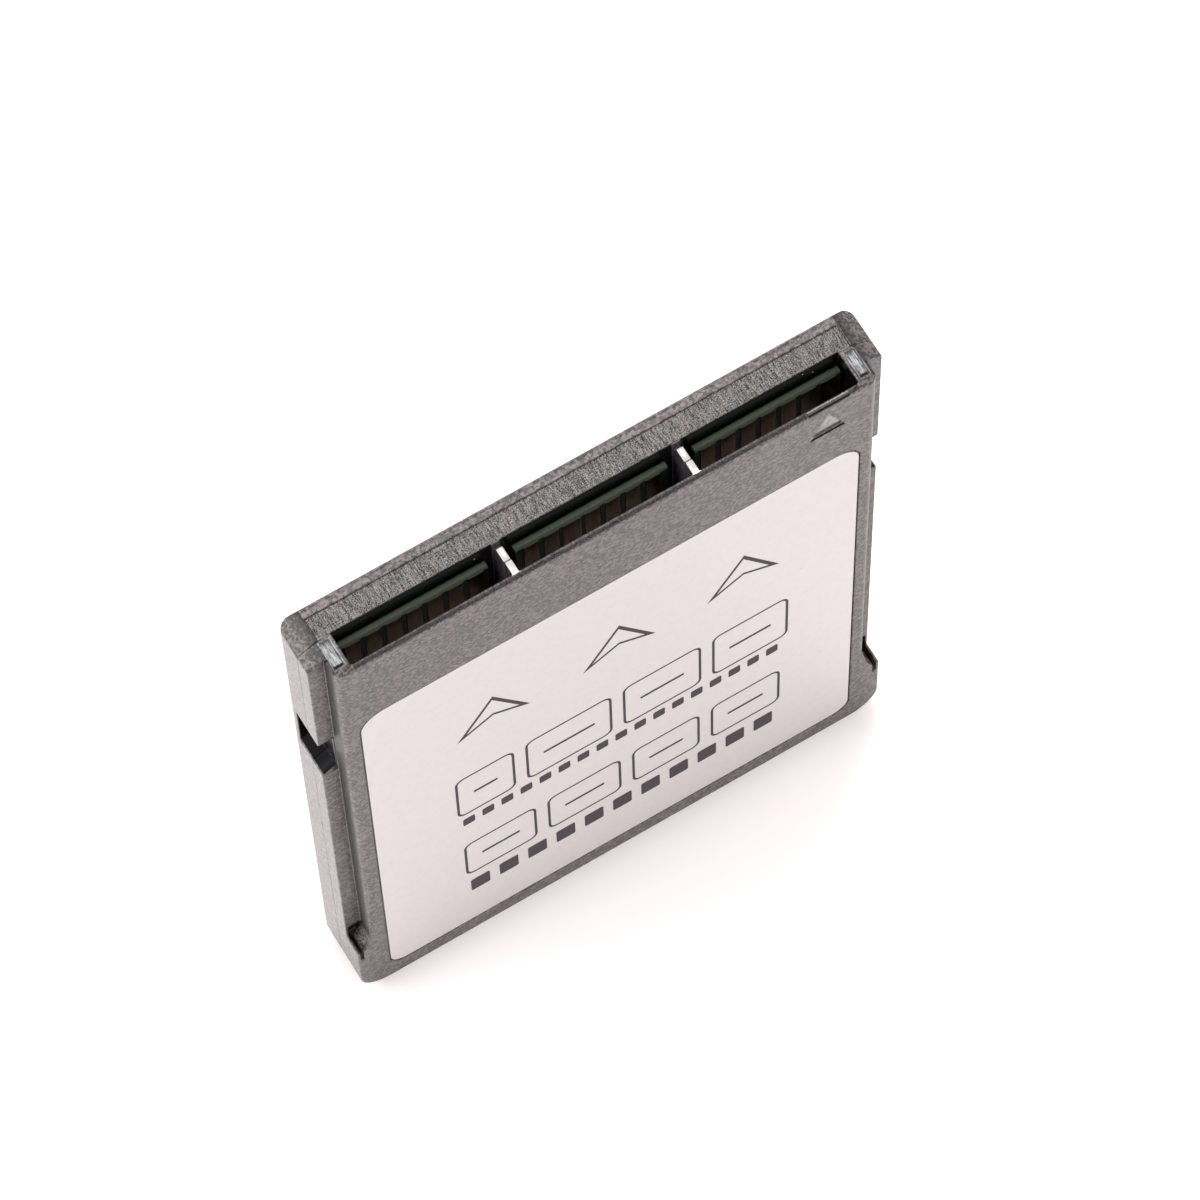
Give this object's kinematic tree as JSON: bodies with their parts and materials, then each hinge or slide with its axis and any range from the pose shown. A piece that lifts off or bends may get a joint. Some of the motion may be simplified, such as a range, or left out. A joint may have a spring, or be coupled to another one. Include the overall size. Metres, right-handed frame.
{
  "type": "memory card",
  "caption": "Flat rectangular solid-state memory card with an open connector mouth on its short edge, keyed side rails and a plain silver label",
  "frame": {"origin": "centre of the bottom of the bounding box: the middle of the short base edge that the card stands on", "axes": "+X across the width, +Y through the thickness away from the label side, +Z along the length towards the connector mouth"},
  "size_m": [0.0296, 0.0038, 0.0385],
  "materials": {
    "housing_plastic": "fine spark-eroded grain",
    "label_foil": "satin printed foil",
    "circuit_board": "green solder resist",
    "contact_gold": "plated, bright",
    "package_resin": "moulded resin",
    "crystal_lid": "satin lid",
    "inductor_core": "pressed ferrite powder",
    "holdup_case": "moulded case",
    "ceramic_body": "fired ceramic with tinned ends",
    "resistor_body": "glazed body with tinned ends",
    "heat_pad": "soft filled silicone"
  },
  "bodies": {
    "root": {"front_shell": "housing_plastic", "rear_shell": "housing_plastic", "front_label": "label_foil", "circuit_board": "circuit_board", "contacts_left": "contact_gold", "contacts_middle": "contact_gold", "contacts_right": "contact_gold", "nand_flash_1": "package_resin", "nand_flash_2": "package_resin", "nand_flash_3": "package_resin", "nand_flash_4": "package_resin", "rear_heat_pad": "heat_pad", "controller_chip": "package_resin", "front_heat_pad": "heat_pad", "buffer_memory": "package_resin", "power_chip": "package_resin", "power_inductor_1": "inductor_core", "power_inductor_2": "inductor_core", "boot_flash": "package_resin", "clock_crystal": "crystal_lid", "load_switch": "package_resin", "holdup_capacitors": "holdup_case", "coupling_capacitors": "ceramic_body", "rear_capacitors": "ceramic_body", "resistors": "resistor_body"}
  },
  "joints": []
}
